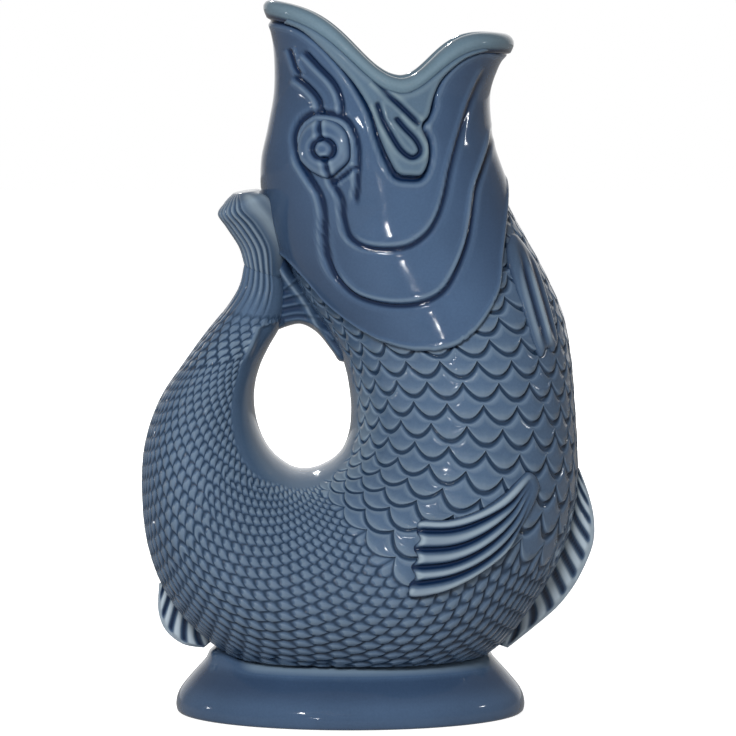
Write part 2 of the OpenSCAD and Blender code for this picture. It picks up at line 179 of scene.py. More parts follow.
lens = bpy.data.cameras.new("camera")
lens.sensor_width = 36.0
lens.clip_end = 20.0
aim_distance = np.hypot(camera_distance, camera_height - picture_middle[2])
lens.lens = lens.sensor_width * aim_distance / picture_height
camera = bpy.data.objects.new("camera", lens)
bpy.context.collection.objects.link(camera)
turn_to(camera, (picture_middle[0], -camera_distance, camera_height), picture_middle)
bpy.context.scene.camera = camera
bpy.context.scene.view_settings.view_transform = "Standard"

# The body of the fish, cast hollow in one with its tail. Rows of overlapping scales,
# whose free edges point to the tail, are carved in the mould. The blue glaze runs thin
# on their edges, pools dark between them, and painted shade darkens it towards the belly.
mm = 0.001
jug_length = 152.0
foot_height = 20.0
shell_height = 213.0
jug_width = 94.0
wall = 4.5
mouth_dip = 19.5
# Per station from the mouth to the end of the tail: the back edge and the belly
# edge in the side view, as shares of the length and of the shells' height, the
# half width as a share of the jug's, and the share of the mouth's dip.
station_shares = [
    (-0.212, 1.000, 0.298, 0.947, 0.640, 1.00),
    (-0.196, 0.950, 0.272, 0.922, 0.650, 0.85),
    (-0.194, 0.884, 0.254, 0.880, 0.670, 0.50),
    (-0.208, 0.825, 0.254, 0.838, 0.690, 0.20),
    (-0.223, 0.770, 0.265, 0.797, 0.700, 0.05),
    (-0.219, 0.708, 0.285, 0.750, 0.710, 0),
    (-0.188, 0.630, 0.311, 0.697, 0.720, 0),
    (-0.151, 0.566, 0.379, 0.609, 0.740, 0),
    (-0.101, 0.513, 0.425, 0.536, 0.765, 0),
    (-0.061, 0.463, 0.445, 0.466, 0.795, 0),
    (-0.044, 0.406, 0.454, 0.391, 0.830, 0),
    (-0.044, 0.359, 0.460, 0.316, 0.870, 0),
    (-0.057, 0.327, 0.458, 0.247, 0.915, 0),
    (-0.079, 0.308, 0.432, 0.169, 0.957, 0),
    (-0.105, 0.297, 0.371, 0.086, 0.990, 0),
    (-0.127, 0.292, 0.276, 0.006, 1.000, 0),
    (-0.147, 0.291, 0.123, -0.041, 1.000, 0),
    (-0.167, 0.294, -0.061, -0.050, 0.980, 0),
    (-0.186, 0.302, -0.232, -0.031, 0.947, 0),
    (-0.206, 0.314, -0.362, 0.025, 0.904, 0),
    (-0.224, 0.331, -0.444, 0.092, 0.840, 0),
    (-0.239, 0.355, -0.487, 0.170, 0.766, 0),
    (-0.248, 0.384, -0.500, 0.256, 0.690, 0),
    (-0.248, 0.417, -0.493, 0.331, 0.617, 0),
    (-0.237, 0.450, -0.460, 0.400, 0.532, 0),
    (-0.217, 0.481, -0.408, 0.456, 0.447, 0),
    (-0.195, 0.508, -0.357, 0.506, 0.362, 0),
    (-0.180, 0.534, -0.310, 0.547, 0.287, 0),
    (-0.178, 0.563, -0.281, 0.580, 0.234, 0),
    (-0.186, 0.589, -0.270, 0.609, 0.213, 0),
]
dip_place_share, dip_back_share, dip_front_share = 0.08, 0.51, 0.41
fullness_share = 0.12


def smooth_step(low, high, value):
    part = np.clip((value - low) / (high - low), 0, 1)
    return part * part * (3 - 2 * part)


def curve_through(rows, t):
    """Rows of a table read at places t, on a smooth curve through them."""
    rows = np.asarray(rows, float)
    t = np.asarray(t, float)
    last = len(rows) - 1
    i = np.clip(np.floor(t).astype(int), 0, last - 1)
    a, b, c, d = (rows[np.clip(i + k, 0, last)] for k in (-1, 0, 1, 2))
    f = (t - i)[..., None]
    return b + 0.5 * f * (c - a + f * (2 * a - 5 * b + 4 * c - d + f * (3 * (b - c) + d - a)))


def on_fish(t, angle, grow=0.0, shares=station_shares, lowest=foot_height):
    """Points in mm on the fish at station t, grown outwards. The angle goes round
    from 0 at the back, by half a turn at the belly, on the right, to a whole turn."""
    row = curve_through(shares, t)
    back = np.stack([row[..., 0] * jug_length, foot_height + row[..., 1] * shell_height], -1)
    belly = np.stack([row[..., 2] * jug_length, foot_height + row[..., 3] * shell_height], -1)
    to_belly = -np.cos(angle)
    run = belly - back
    half = np.linalg.norm(run, axis=-1) / 2
    place = (back + belly) / 2 + run * ((half + grow) * to_belly / (2 * half))[..., None]
    y = -(row[..., 4] * jug_width / 2 + grow) * np.sin(angle) * (1 + fullness_share * to_belly)
    spread = np.where(to_belly < dip_place_share, dip_back_share, dip_front_share)
    dip = row[..., 5] * mouth_dip * np.exp(-(((to_belly - dip_place_share) / spread) ** 2))
    return np.stack([place[..., 0], y, np.maximum(place[..., 1] - dip, lowest)], -1)


def points_of(piece):
    at = np.empty(len(piece.data.vertices) * 3, np.float32)
    piece.data.vertices.foreach_get("co", at)
    return at.reshape(-1, 3).astype(float)


def ball_start(around, along):
    """A ball to be drawn out into a long closed skin. Gives each point's angle
    round it, and its row from one end to the other."""
    bpy.ops.object.select_all(action="DESELECT")
    bpy.ops.mesh.primitive_uv_sphere_add(segments=around, ring_count=along, radius=1)
    piece = bpy.context.object
    at = points_of(piece)
    turn = np.round(np.arctan2(at[:, 1], at[:, 0]) / (2 * np.pi) * around) % around
    row = np.round(np.arccos(np.clip(at[:, 2], -1, 1)) / np.pi * along)
    return piece, turn / around, row.astype(int)


def shaped(piece, points, relief=0.0):
    """Moves a mesh's points, given in mm, and keeps how high each lies in the
    carving, which its glaze follows: -1 in a groove, and 1 on a sharp edge. In
    places it also holds painted shade and painted reflections."""
    mesh = piece.data
    points = np.asarray(points, float)
    mesh.vertices.foreach_set("co", (points * mm).astype(np.float32).ravel())
    layer = mesh.attributes.new("relief", "FLOAT", "POINT")
    values = np.broadcast_to(np.asarray(relief, np.float32), (len(points),))
    layer.data.foreach_set("value", np.ascontiguousarray(values))
    mesh.update()


def finished(piece, name, nodes, material):
    """Merges and smooths a shaped piece, and gives it its name and its place."""
    piece.name = name
    piece.data.name = name
    bpy.ops.object.select_all(action="DESELECT")
    piece.select_set(True)
    bpy.context.view_layer.objects.active = piece
    bpy.ops.object.mode_set(mode="EDIT")
    bpy.ops.mesh.select_all(action="SELECT")
    bpy.ops.mesh.remove_doubles(threshold=0.000003)
    bpy.ops.mesh.normals_make_consistent(inside=False)
    bpy.ops.object.mode_set(mode="OBJECT")
    bpy.ops.object.shade_smooth()
    piece.data.materials.clear()
    piece.data.materials.append(material)
    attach(piece, "root")
    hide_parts(*nodes)


def glaze(name, middle, deep, pale, roughness):
    """Glossy coloured glaze over carved clay: deep where it pools and pale where it
    runs thin, with faint clouds in it and the soft waves of a fired surface. The
    painted shade and painted reflections kept with the carving show in it too."""
    material, start = new_material(name)
    relief = start.node("ShaderNodeAttribute", {"attribute_name": "relief"}, output=2)
    place = start.node("ShaderNodeTexCoord", output=3)
    clouds = start.node("ShaderNodeTexNoise", inputs={"Vector": place, "Scale": 30.0, "Detail": 4.0})
    specks = start.node("ShaderNodeTexNoise", inputs={"Vector": place, "Scale": 1400.0, "Detail": 2.0})
    shade = (clouds - 0.5) * 1.3 + (specks - 0.5) * 0.6 + 0.5
    darker, lighter = (tuple(share * c for c in middle[:3]) + (1.0,) for share in (0.80, 1.22))
    body = shade.clamped().mixed(darker, lighter)
    pooled = ((relief * -1.25).clamped() ** 0.75).mixed(body, deep)
    colour = ((relief - 0.2) * 1.25).clamped().mixed(pooled, pale)
    waves = start.node("ShaderNodeTexNoise", inputs={"Vector": place, "Scale": 90.0, "Detail": 2.0})
    bump = start.node("ShaderNodeBump", inputs={"Strength": 0.3, "Distance": 0.0005, "Height": waves})
    rough = (specks - 0.5) * 0.06 + roughness
    surface = start.node("ShaderNodeBsdfPrincipled", inputs={
        "Base Color": colour, "Roughness": rough, "Normal": bump, "IOR": 1.45,
        "Coat Weight": 0.35, "Coat Roughness": 0.03, "Coat IOR": 1.5})
    start.node("ShaderNodeOutputMaterial", inputs={"Surface": surface})
    return material


slate = (0.066, 0.110, 0.182, 1.0)
navy = (0.003, 0.014, 0.046, 1.0)
deep_slate = (0.017, 0.037, 0.073, 1.0)
thin_blue = (0.200, 0.268, 0.335, 1.0)
scale_glaze = glaze("scale_glaze", slate, deep_slate, thin_blue, 0.14)

scales_around = 30
columns_per_scale = 12
# Rows of points from a scale's root to its free edge: how wide the groove at the
# root is, as shares of the pitch, and no more than shares of what shows, and then
# places on the face. With each goes its height, as a share of the carving's depth.
groove_points = [(0.0, 0.0, -1.0), (0.095, 0.40, -0.9), (0.20, 0.72, 0.3)]
face_points = [(0.34, 0.0), (0.66, 0.12), (0.90, 0.45)]
small_groove_points = [(0.0, 0.0, -1.0), (0.32, 0.50, 0.25)]
small_face_points = [(0.62, 0.42)]
scallop_share, small_scallop_share = 0.76, 0.56
# How far apart the rows of large scales are, in mm, at these stations. Each holds
# two rows of small ones.
pitch_stations = [4, 8, 10, 12, 14, 18, 21, 24, 27, 29]
row_pitches = [6.4, 6.9, 7.2, 7.5, 7.8, 8.2, 7.5, 6.8, 6.2, 6.0]
# Up to where from the back the body is smooth, as a share of half a ring.
smooth_stations = [4, 8, 12, 15, 18, 21, 24, 25.2, 26.3, 26.7, 28]
smooth_shares = [-0.99, -0.97, -0.95, -0.91, -0.86, -0.70, -0.60, -0.46, -0.30, -0.90, -1.1]
first_station, last_scaled, stalk_station = 4.2, 27.3, 29.15
# Scales are small after these stations: on the belly side of this share of half a
# ring, and then all round.
small_from, small_after, all_small_after = 0.56, 12.8, 14.9
# Small ones are a third as wide as a large one over the first width in mm, half as
# wide over the second, and else as wide.
thirds_over, halves_over = 9.6, 5.2
LARGE, THIRD, HALF, WHOLE = 0, 1, 2, 3
scales_for_one = np.array([1, 3, 2, 1])
rows_for_one = np.array([1, 2, 2, 2])
carved_share = np.array([1.0, 0.8, 0.85, 1.0])
# How far across its scale the groove down each side of a small one starts. A large
# one has none.
side_groove_from = np.array([2, 0.9, 0.9, 0.8])
side_groove_height, crown_height, face_sinks = -0.8, 0.20, 0.08
# How much narrower the scales are at the edges, and wider on the belly's side.
edges_narrower, front_wider = 0.5, 0.15
carve_share, carve_least, carve_most = 0.085, 0.32, 0.90
settled = 0.42
inside_rows = 12
end_rows = 12
small_turn = 0.06

stations = np.linspace(first_station, last_scaled, 600)
along_flank = on_fish(stations, np.full(len(stations), 1.6))
steps = np.linalg.norm(np.diff(along_flank, axis=0), axis=1)
middle_pitch = np.interp(stations[1:], pitch_stations, row_pitches)
rows_to = np.concatenate([[0], np.cumsum(steps / middle_pitch)])
scale_rows = int(rows_to[-1])
columns = scales_around * columns_per_scale
sub_rows = len(groove_points) + len(face_points)
outside_rows = scale_rows * sub_rows + end_rows
body, turn, row = ball_start(columns, outside_rows + inside_rows + 2)

# The scales are small along the back and the belly, and largest on the front of
# the flank.
half_turn = 1 - np.abs(1 - 2 * turn)
wave = 2 * np.pi * half_turn
crowding = edges_narrower * np.sin(wave) + front_wider * (1 - np.cos(wave))
spread = half_turn - crowding / (2 * np.pi)
angle = np.pi * np.where(turn <= 0.5, spread, 2 - spread)
column = turn * scales_around
place = np.clip(row - inside_rows - 1, 0, outside_rows)
scale_row, sub = np.divmod(np.minimum(place, scale_rows * sub_rows), sub_rows)

row_station, station_before = (np.interp(scale_row - back, rows_to, stations) for back in (0, 1))
narrowing = 1 - edges_narrower * np.cos(wave) - front_wider * np.sin(wave)
scale_turn = 2 * np.pi / scales_around * narrowing


def scale_width(station):
    """How wide a large scale would be, in mm."""
    step = on_fish(station, angle + small_turn) - on_fish(station, angle)
    return np.linalg.norm(step, axis=1) / small_turn * scale_turn


def kind_at(station):
    small = (station > all_small_after) | ((half_turn > small_from) & (station > small_after))
    width = scale_width(station)
    return np.select([~small, width > thirds_over, width > halves_over], [LARGE, THIRD, HALF], WHOLE)


def scallop(kind, number):
    """The free edge that ends a row of scales, as a row number round the body, and
    how far across its scale each place is, from -1 to 1."""
    across = np.mod(column * scales_for_one[kind] + number * rows_for_one[kind] / 2, 1) * 2 - 1
    share = np.where(kind == LARGE, scallop_share, small_scallop_share / 2)
    return number - share * across**2, across


# A row starts from the edge of the row before it, also where the kind changes.
kind = kind_at(row_station)
small = kind != LARGE
half, small_sub = np.divmod(sub, sub_rows // 2)
half = np.where(small, half, 0)
pitch = np.where(small, 0.5, 1.0)
above, under = scallop(np.where(half == 1, kind, kind_at(station_before)), scale_row + 0.5 * half)
below, across = scallop(kind, scale_row + 0.5 * half + pitch)
gap = np.maximum(below - above, 0)
lean = np.where(small, 1, np.sqrt(1 + (1.7 * under) ** 2))
edge, height = np.zeros(len(row)), np.zeros(len(row))
for grooves, faces, here, place_in_row in (
    (groove_points, face_points, ~small, sub),
    (small_groove_points, small_face_points, small, small_sub),
):
    offsets = [np.minimum(wide * pitch * lean, share * gap) for wide, share, _ in grooves]
    offsets += [offsets[-1] + (gap - offsets[-1]) * share for share, _ in faces]
    heights = np.array([entry[-1] for entry in grooves + faces])
    picked = np.minimum(place_in_row, len(offsets) - 1)
    edge = np.where(here, above + np.choose(picked, offsets), edge)
    height = np.where(here, heights[picked], height)
crown = crown_height * (1 - across**2) - face_sinks
height = np.where(height > -0.5, (height + crown) * np.clip(gap / pitch, 0, 1) ** 0.3, height)
height *= carved_share[kind]
side_rims = 0.3 * across**2 * (height > -0.5)
height = np.where(np.abs(across) > side_groove_from[kind], side_groove_height, height)
# No row may reach over the row before it.
number = np.round(turn * columns).astype(int) % columns
table_of_edges = np.zeros((outside_rows + 1, columns))
outer = (row > inside_rows) & (row < row.max())
table_of_edges[place[outer], number[outer]] = edge[outer]
table_of_edges = np.maximum.accumulate(table_of_edges, axis=0)
edge = table_of_edges[place, number]
t = np.interp(np.maximum(edge, 0), rows_to, stations)
past = np.clip(place - scale_rows * sub_rows, 0, end_rows) / end_rows
t = np.where(past > 0, t + (stalk_station - t) * past, t)


def ray_relief(angle, up):
    """The tail fin's carving, from its stalk, where up is 0, to its top: rays that
    gather in its outer corner, then a smooth hollow, and a ridge by the head.
    Gives its height, and its relief for the glaze, in which the hollow is painted
    pale as a painted reflection."""
    outward = np.degrees(np.abs(np.mod(angle + np.pi, 2 * np.pi) - np.pi))
    inner = 64 + 50 * np.clip(up, 0, 1)
    rays = np.abs(np.cos(np.pi * 7 * (180 - outward) / (180 - inner))) ** 0.7
    hollow = np.exp(-(((outward - inner + 25) / 17) ** 2)) * smooth_step(-0.1, 0.4, up)
    ridge = np.exp(-(((outward - inner + 58) / 11) ** 2)) * smooth_step(-0.3, 0.2, up)
    height = (1.3 * rays - 0.75) * smooth_step(-5, 9, outward - inner) - 0.75 * hollow + 0.65 * ridge
    # The hollow is painted pale in the relief: a painted reflection of the room in it.
    return height, height + 1.7 * hollow


to_belly = -np.cos(angle)
smooth_to = np.interp(t, smooth_stations, smooth_shares)
covered = smooth_step(0, 0.05, to_belly - smooth_to) * smooth_step(27.9, 25.2, t)
height = np.where(past > 0, 0.1, height) * covered
depth = np.clip(carve_share * scale_width(t), carve_least, carve_most)
rays = ray_relief(angle, (t - 29) / 5)[0] * smooth_step(26.0, 28.6, t)
grow = height * depth + 0.9 * rays - settled * smooth_step(28.8, 27.5, t)
grow -= 0.5 * smooth_step(5.2, first_station, t) + 0.9 * smooth_step(29.0, stalk_station, t)
# A smooth ridge runs from the inside of the tail into the web over the finger hole.
web_ridge = np.exp(-(((to_belly - smooth_to + 0.04) / 0.11) ** 2))
web_ridge *= smooth_step(24.2, 25.4, t) * smooth_step(26.75, 26.4, t)
grow += 1.1 * web_ridge
points = on_fish(t, angle, grow)
relief = (height + np.where(past > 0, 0, side_rims) * covered) * 1.25 + rays + 0.5 * web_ridge
# Painted shade: the glaze is darkened towards the belly, which the light reaches less.
relief -= 0.22 * smooth_step(0.35, 0.85, to_belly)
# The smooth rim of the finger hole is painted paler: a painted reflection of the room.
painted_reflection_by_hole = smooth_step(8.5, 10.5, t) * smooth_step(25.0, 23.5, t)
relief += 0.48 * smooth_step(-0.68, -0.92, to_belly) * painted_reflection_by_hole

# The inside, a wall's thickness in, from the stalk back to the throat.
hollow_end, throat_station = 28.0, 6.0
inner_t = hollow_end + (throat_station - hollow_end) * np.clip(row / inside_rows, 0, 1)
inside = on_fish(inner_t, angle, -wall, lowest=foot_height + wall)
inside[row == 0] = inside[row == 1].mean(axis=0)
points = np.where((row <= inside_rows)[:, None], inside, points)
points[row == row.max()] = on_fish(np.array([29.0, 29.0]), np.array([0.0, np.pi])).mean(axis=0)
relief = np.where(row <= inside_rows, 0, relief)
shaped(body, points, relief)
finished(body, "scaled_body", ["belly_shell", "tail_shell"], scale_glaze)

# The head, from the lips to the free edge of the gill covers. It is the same clay
# wall, with the face carved into it as smooth plates that overlap: the gill cover,
# the stepped cheek, the brows and the ring of the eye, under a plain blue glaze.
gill_thickness = 2.0
# Places in mm along the jug and up, in the side view.
gill_edge = [
    (-70, 177), (-36.1, 175.9), (-34.5, 169.7), (-31.9, 162.6), (-28.6, 155.7), (-30.6, 153.1),
    (-27.0, 151.5), (-19.5, 144.0), (-15.0, 138.8), (-10.7, 134.9), (-3.3, 129.7), (4.2, 126.1),
    (14.0, 123.9), (21.5, 123.9), (29.0, 126.1), (34.8, 130.4), (40.3, 137.8), (43.3, 144.7),
    (43.9, 152.2), (44.9, 159.6), (45.9, 167.1), (46.4, 174.6), (45.5, 183), (70, 184),
]
cheek_line = [
    (-23.7, 189.6), (-22.8, 185.0), (-19.5, 179.8), (-15.9, 174.0), (-14.6, 167.1), (-14.6, 159.6),
    (-13.3, 152.2), (-9.8, 146.3), (-3.3, 141.1), (6.5, 138.8), (16.3, 139.5), (23.7, 143.1),
    (28.3, 149.9), (31.9, 159.0), (33.5, 167.1), (34.8, 175.9), (37.1, 182.7), (39.4, 189.2),
    (41.5, 197),
]
inner_line = [
    (-14.3, 185.3), (-13.0, 180.7), (-12.0, 178.1), (-9.1, 172.9), (-8.5, 166.4), (-6.8, 161.2),
    (-2.3, 158.0), (5.2, 157.0), (12.7, 158.0), (18.6, 161.9), (22.1, 167.1), (24.4, 173.9),
    (26.0, 181.4), (28.3, 190.2), (30.6, 197.7), (32.9, 204.5), (35.8, 211.0), (38.7, 216.2),
]
eye_line = [
    (-22.8, 184.9), (-23.8, 189.5), (-24.1, 193.1), (-22.5, 197.3), (-19.5, 199.9), (-16.3, 200.9),
    (-9.8, 199.9), (-6.2, 197.3), (-3.9, 191.8), (-3.6, 185.6), (-3.9, 178.1), (-4.6, 170.6),
]
lid_line = [(-4.2, 184.0), (-6.2, 182.3), (-9.1, 180.1), (-12.1, 178.1)]
brow_front = [(-21.5, 220.7), (-17.3, 216.2), (-12.1, 210.9), (-9.5, 205.7), (-8.8, 199.8)]
brow_back = [(-24.8, 212.6), (-20.3, 209.3), (-16.7, 205.0), (-16.0, 200.5)]
brow_short = [(-26.1, 221.7), (-24.2, 216.2), (-22.5, 213.2)]
left_lip_line = [
    (-36.0, 231.0), (-31.0, 230.9), (-23.5, 228.9), (-16.0, 223.7), (-8.5, 215.6), (-3.3, 208.1),
    (0.7, 200.6), (2.9, 193.1), (5.9, 185.6), (8.8, 180.7), (13.0, 179.7), (17.0, 180.3),
    (19.2, 185.6), (19.2, 191.8), (17.0, 196.0), (15.6, 197.0),
]
right_lip_line = [
    (48.0, 221.0), (42.8, 221.1), (36.6, 221.7), (29.1, 218.4), (23.8, 213.2), (20.9, 207.3),
    (20.3, 202.8), (18.0, 198.2), (15.7, 196.9),
]


def to_line(x, z, line, closed=False):
    """How far places are from a smooth line, with a sign for their side of it,
    which is over 0 on its right, and how far along it they are, from 0 to 1."""
    line = curve_through(line, np.linspace(0, len(line) - 1, 5 * len(line)))
    if closed:
        line = np.vstack([line, line[:1]])
    best = np.full(x.shape, 1e9)
    side = np.ones(x.shape)
    along = np.zeros(x.shape)
    for i in range(len(line) - 1):
        (ax, az), (bx, bz) = line[i], line[i + 1]
        vx, vz = bx - ax, bz - az
        part = np.clip(((x - ax) * vx + (z - az) * vz) / max(vx * vx + vz * vz, 1e-9), 0, 1)
        dx, dz = x - ax - part * vx, z - az - part * vz
        far = np.hypot(dx, dz)
        near = far < best
        best = np.where(near, far, best)
        side = np.where(near, np.sign(dx * vz - dz * vx), side)
        along = np.where(near, (i + part) / (len(line) - 1), along)
    return best, side, along


def held_by(corners, x, z):
    """Which places lie inside an outline with straight sides."""
    held = np.zeros(x.shape, bool)
    for (ax, az), (bx, bz) in zip(corners, np.roll(corners, -1, axis=0)):
        crosses = (az > z) != (bz > z)
        with np.errstate(divide="ignore", invalid="ignore"):
            held ^= crosses & (x < (bx - ax) * (z - az) / (bz - az) + ax)
    return held


def inside_of(x, z, line):
    """How far places are inside a smooth closed outline, below 0 outside it."""
    far, _, _ = to_line(x, z, line, closed=True)
    smooth_line = curve_through(line, np.linspace(0, len(line) - 1, 5 * len(line)))
    return np.where(held_by(smooth_line, x, z), far, -far)


def carved_line(x, z, line, depth, width, step=0.0, ends=0.06, turns=None, faint=1.0):
    """Height and relief of a carved line between two rounded rims. Its right side
    stands higher by step, or its left side after the place along it named by turns.
    It grows fainter in its second half."""
    far, side, along = to_line(x, z, line)
    shown = smooth_step(0, ends, along) * smooth_step(1, 1 - ends, along) if ends else 1.0
    shown = shown * (1 - (1 - faint) * smooth_step(0.45, 0.8, along))
    turned = 1 - 2 * smooth_step(turns - 0.07, turns + 0.07, along) if turns else 1.0
    over = side * turned * (1 if step else 0)
    cut = np.exp(-((far / (width * (1 - 0.3 * over))) ** 2))
    rim = np.exp(-(((far - (2.0 - 0.3 * over) * width) / (1.0 * width)) ** 2)) * (1 + 0.5 * over)
    rise = over * smooth_step(0, 1.6 * width, far) * np.exp(-((far / 7.5) ** 2))
    height = (0.25 * rim - depth * cut + 0.5 * step * rise) * shown
    return height, (0.55 * rim - 1.25 * cut) * shown


def ring_start(around, section):
    """A ring to be drawn out into an open tube with a wall. Gives each point's
    angle round it, and its place round the section of its wall."""
    bpy.ops.object.select_all(action="DESELECT")
    bpy.ops.mesh.primitive_torus_add(major_segments=around, minor_segments=section,
                                     major_radius=2, minor_radius=1)
    piece = bpy.context.object
    at = points_of(piece)
    turn = np.round(np.arctan2(at[:, 1], at[:, 0]) / (2 * np.pi) * around) % around
    out = np.hypot(at[:, 0], at[:, 1]) - 2
    part = np.round(np.arctan2(at[:, 2], out) / (2 * np.pi) * section) % section
    return piece, turn / around, part.astype(int)


face_blue = (0.052, 0.093, 0.168, 1.0)
face_glaze = glaze("face_glaze", face_blue, navy, (0.150, 0.215, 0.290, 1.0), 0.10)
head_columns, face_rows, tuck_rows, throat_rows = 420, 184, 4, 12
head, turn, part = ring_start(head_columns, face_rows + throat_rows)
angle = turn * 2 * np.pi

# The station at which each column reaches the gill covers' free edge.
first_try, last_try = 3.5, 12
over_mouth = [(70, 260), (-70, 260)]
tries = np.linspace(first_try, last_try, 171)
round_angles = np.arange(head_columns) / head_columns * 2 * np.pi
grid_t, grid_angle = np.meshgrid(tries, round_angles)
at = on_fish(grid_t, grid_angle, gill_thickness)
far, _, _ = to_line(at[..., 0], at[..., 2], gill_edge)
signed = np.where(held_by(gill_edge + over_mouth, at[..., 0], at[..., 2]), far, -far)
last = tries.size - 2 - np.argmax((signed[:, :-1] > 0)[:, ::-1], axis=1)
pick = np.arange(head_columns)
low, high = signed[pick, last], signed[pick, last + 1]
ends_at = tries[last] + (tries[1] - tries[0]) * low / (low - high + 1e-9)
ends_here = ends_at[np.round(turn * head_columns).astype(int) % head_columns]

# Rows run from the mouth to the edge, then under it and up the inside.
outer_rows = face_rows - tuck_rows
down = np.clip(part / outer_rows, 0, 1)
t = down * ends_here
outer = part <= outer_rows
place = on_fish(t, angle, gill_thickness)
x, z = place[:, 0], place[:, 2]
height = np.full(len(x), gill_thickness)
relief = np.zeros(len(x))
# Each line's depth, its width, its step, where the step turns over, and how faint
# its second half is.
face_lines = [
    (cheek_line, 1.2, 0.85, 1.3, 0.38, 1), (inner_line, 1.1, 0.85, 1.2, 0.34, 0.55),
    (eye_line, 1.2, 0.85, 0.5, None, 1), (lid_line, 0.9, 0.7, 0, None, 1),
    (brow_front, 1.15, 0.85, 0.6, None, 1), (brow_back, 1.15, 0.85, 0.6, None, 1),
    (brow_short, 0.8, 0.7, 0, None, 1), (left_lip_line, 1.6, 1.0, 0, None, 1),
    (right_lip_line, 1.6, 1.0, 0, None, 1),
]
for line, depth, width, step, turns, faint in face_lines:
    more, shade = carved_line(x, z, line, depth, width, step, turns=turns, faint=faint)
    height += more
    relief += shade
to_mouth = np.linalg.norm(place - on_fish(np.zeros(len(x)), angle, gill_thickness), axis=1)
to_edge = np.linalg.norm(place - on_fish(ends_here, angle, gill_thickness), axis=1)
height += 0.35 * np.exp(-(((to_edge - 1.3) / 1.0) ** 2)) - 0.75 * np.exp(-((to_edge / 0.55) ** 2))
relief += 0.95 * np.exp(-(((to_edge - 0.7) / 1.0) ** 2))
height = 0.4 + (height - 0.4) * smooth_step(0, 2.2, to_mouth)
relief -= 0.8 * np.exp(-((to_mouth / 1.2) ** 2))
# Painted shade: the face is darkened towards the back and the belly, which the light reaches less.
relief -= 0.20 * smooth_step(0.25, 0.85, np.abs(np.cos(angle)))
points = on_fish(t, angle, height)

under = np.clip(part - outer_rows, 0, tuck_rows) / tuck_rows
tucked = on_fish(ends_here + 0.04 * under, angle, 1.3 - 2.4 * under)
points = np.where(outer[:, None], points, tucked)
relief = np.where(outer, relief, -0.6)
up = np.clip((part - face_rows) / throat_rows, 0, 1)
throat = on_fish(throat_station * (1 - up), angle, -wall)
points = np.where((part > face_rows)[:, None], throat, points)
relief = np.where(part > face_rows, 0.0, relief)
shaped(head, points, np.clip(relief, -1.2, 1.2))
finished(head, "carved_head", ["head_shell", "gill_cover_left", "gill_cover_right"],
         face_glaze)

# The lips. A thick rolled rim of clay runs round the mouth, over the top of the
# head's wall. The glaze runs thin and grey on it.
lip_height = 4.9
lip_roll = 2.4
lip_profile = [
    (0.90, -0.25), (1.0, 0.05), (1.06, 0.32), (1.04, 0.60), (0.90, 0.86), (0.66, 1.0), (0.38, 0.98),
    (0.14, 0.82), (0.0, 0.52), (-0.03, 0.2), (0.0, -0.15), (0.3, -0.4), (0.62, -0.4),
]
lip_grey = (0.115, 0.180, 0.232, 1.0)
lip_glaze = glaze("lip_glaze", lip_grey, navy, (0.175, 0.240, 0.280, 1.0), 0.10)
lip_columns, profile_parts = 300, 39
lip, turn, part = ring_start(lip_columns, profile_parts)
angle = turn * 2 * np.pi
share = curve_through(lip_profile + lip_profile[:2], part * len(lip_profile) / profile_parts)
inner_ring = on_fish(np.zeros(len(turn)), angle, -wall)
outer_ring = on_fish(np.zeros(len(turn)), angle, lip_roll)
points = inner_ring + (outer_ring - inner_ring) * share[:, :1]
points[:, 2] += share[:, 1] * lip_height
relief = 0.45 * np.exp(-(((share[:, 1] - 0.55) / 0.3) ** 2)) - 1.1 * smooth_step(0.15, -0.25, share[:, 1])
shaped(lip, points, relief)
finished(lip, "rolled_lip", ["mouth_lip"], lip_glaze)

# The corners of the mouth. A flap of clay hangs from each, under the dip of the
# lips, with a web across its top and a drop-shaped groove carved in it.
jaw_height, band_height = 3.9, 3.3
# How deep a raised piece's back is sunk in the clay under it.
sunk = 0.8
corner_angles = np.linspace(2.45, 0.62, 24)
lip_corner = [(x, z + 0.6) for x, _, z in on_fish(np.zeros(24), corner_angles)]
jaw_outline = [
    (-26.5, 229.4), (-19.5, 226.2), (-8.3, 214.9), (-3.0, 208.0), (0.9, 200.6), (3.1, 193.1),
    (6.1, 185.9), (8.9, 181.3), (13.0, 180.4), (16.6, 180.9), (18.6, 185.6), (18.5, 191.4),
    (16.6, 196.8), (18.8, 200.2), (20.6, 206.9), (23.4, 212.3), (28.8, 217.4), (33.0, 219.6),
    (38.0, 221.2),
] + [place for place in lip_corner if -27 < place[0] < 38]
corner_glaze = glaze("corner_glaze", (0.080, 0.130, 0.190, 1.0), navy, (0.160, 0.225, 0.270, 1.0), 0.10)
drop_line = [
    (2.6, 205.0), (4.2, 199.6), (5.8, 196.1), (9.4, 189.6), (12.7, 186.7), (14.9, 187.4),
    (15.6, 189.3), (14.0, 192.6), (11.0, 196.1), (8.1, 200.0),
]
web_line = [(2.0, 212.0), (6.5, 206.7), (10.4, 202.8), (15.6, 197.0)]


